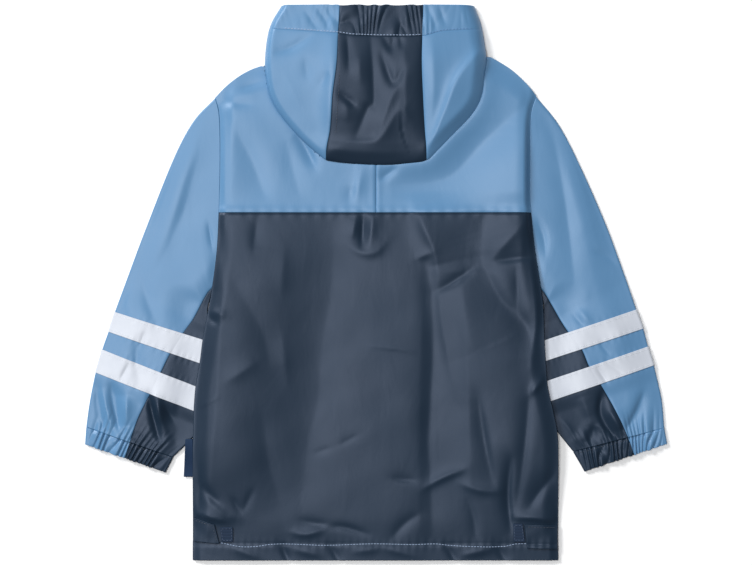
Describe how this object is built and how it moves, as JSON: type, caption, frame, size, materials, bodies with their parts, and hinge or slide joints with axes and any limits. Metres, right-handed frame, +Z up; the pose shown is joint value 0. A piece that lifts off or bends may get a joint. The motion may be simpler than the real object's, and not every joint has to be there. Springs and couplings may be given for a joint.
{
  "type": "kids raincoat laid flat",
  "caption": "Child's hooded raincoat lying front down, in two colours, with reflective tapes, gathered cuffs and hood.",
  "frame": {"origin": "middle of the garment's outline, on the surface that it lies on", "axes": "+X to the right seen from above with the hood at the top, +Y from the hem to the hood, +Z up, away from the surface"},
  "size_m": [0.6118, 0.5815, 0.0184],
  "materials": {
    "blue_coated_cloth": "light blue, smooth coated, satin gloss",
    "navy_coated_cloth": "navy, smooth coated, satin gloss",
    "reflective_tape": "white, glass-bead coated, matt",
    "loop_tape": "dark navy, napped",
    "woven_tag": "dark navy, woven, bare",
    "stud_metal": "satin nickel"
  },
  "bodies": {
    "root": {"back_yoke_left": "blue_coated_cloth", "back_yoke_right": "blue_coated_cloth", "front_yoke_left": "blue_coated_cloth", "front_yoke_right": "blue_coated_cloth", "sleeve_left_outer": "blue_coated_cloth", "sleeve_right_outer": "blue_coated_cloth", "cuff_left_outer": "blue_coated_cloth", "cuff_right_outer": "blue_coated_cloth", "hood_side_left": "blue_coated_cloth", "hood_side_right": "blue_coated_cloth", "hood_casing_left": "blue_coated_cloth", "hood_casing_right": "blue_coated_cloth", "hood_core": "blue_coated_cloth", "hood_front_left": "blue_coated_cloth", "hood_front_right": "blue_coated_cloth", "back_body": "navy_coated_cloth", "front_body_left": "navy_coated_cloth", "front_body_right": "navy_coated_cloth", "sleeve_left_under": "navy_coated_cloth", "sleeve_right_under": "navy_coated_cloth", "cuff_left_under": "navy_coated_cloth", "cuff_right_under": "navy_coated_cloth", "hood_centre": "navy_coated_cloth", "hood_casing_centre": "navy_coated_cloth", "hem_strap_left": "navy_coated_cloth", "hem_strap_right": "navy_coated_cloth", "stripe_left_upper": "reflective_tape", "stripe_left_lower": "reflective_tape", "stripe_right_upper": "reflective_tape", "stripe_right_lower": "reflective_tape", "hem_patch_left": "loop_tape", "hem_patch_right": "loop_tape", "side_tag": "woven_tag", "press_stud_1": "stud_metal", "press_stud_2": "stud_metal", "press_stud_3": "stud_metal", "press_stud_4": "stud_metal", "press_stud_5": "stud_metal"}
  },
  "joints": []
}
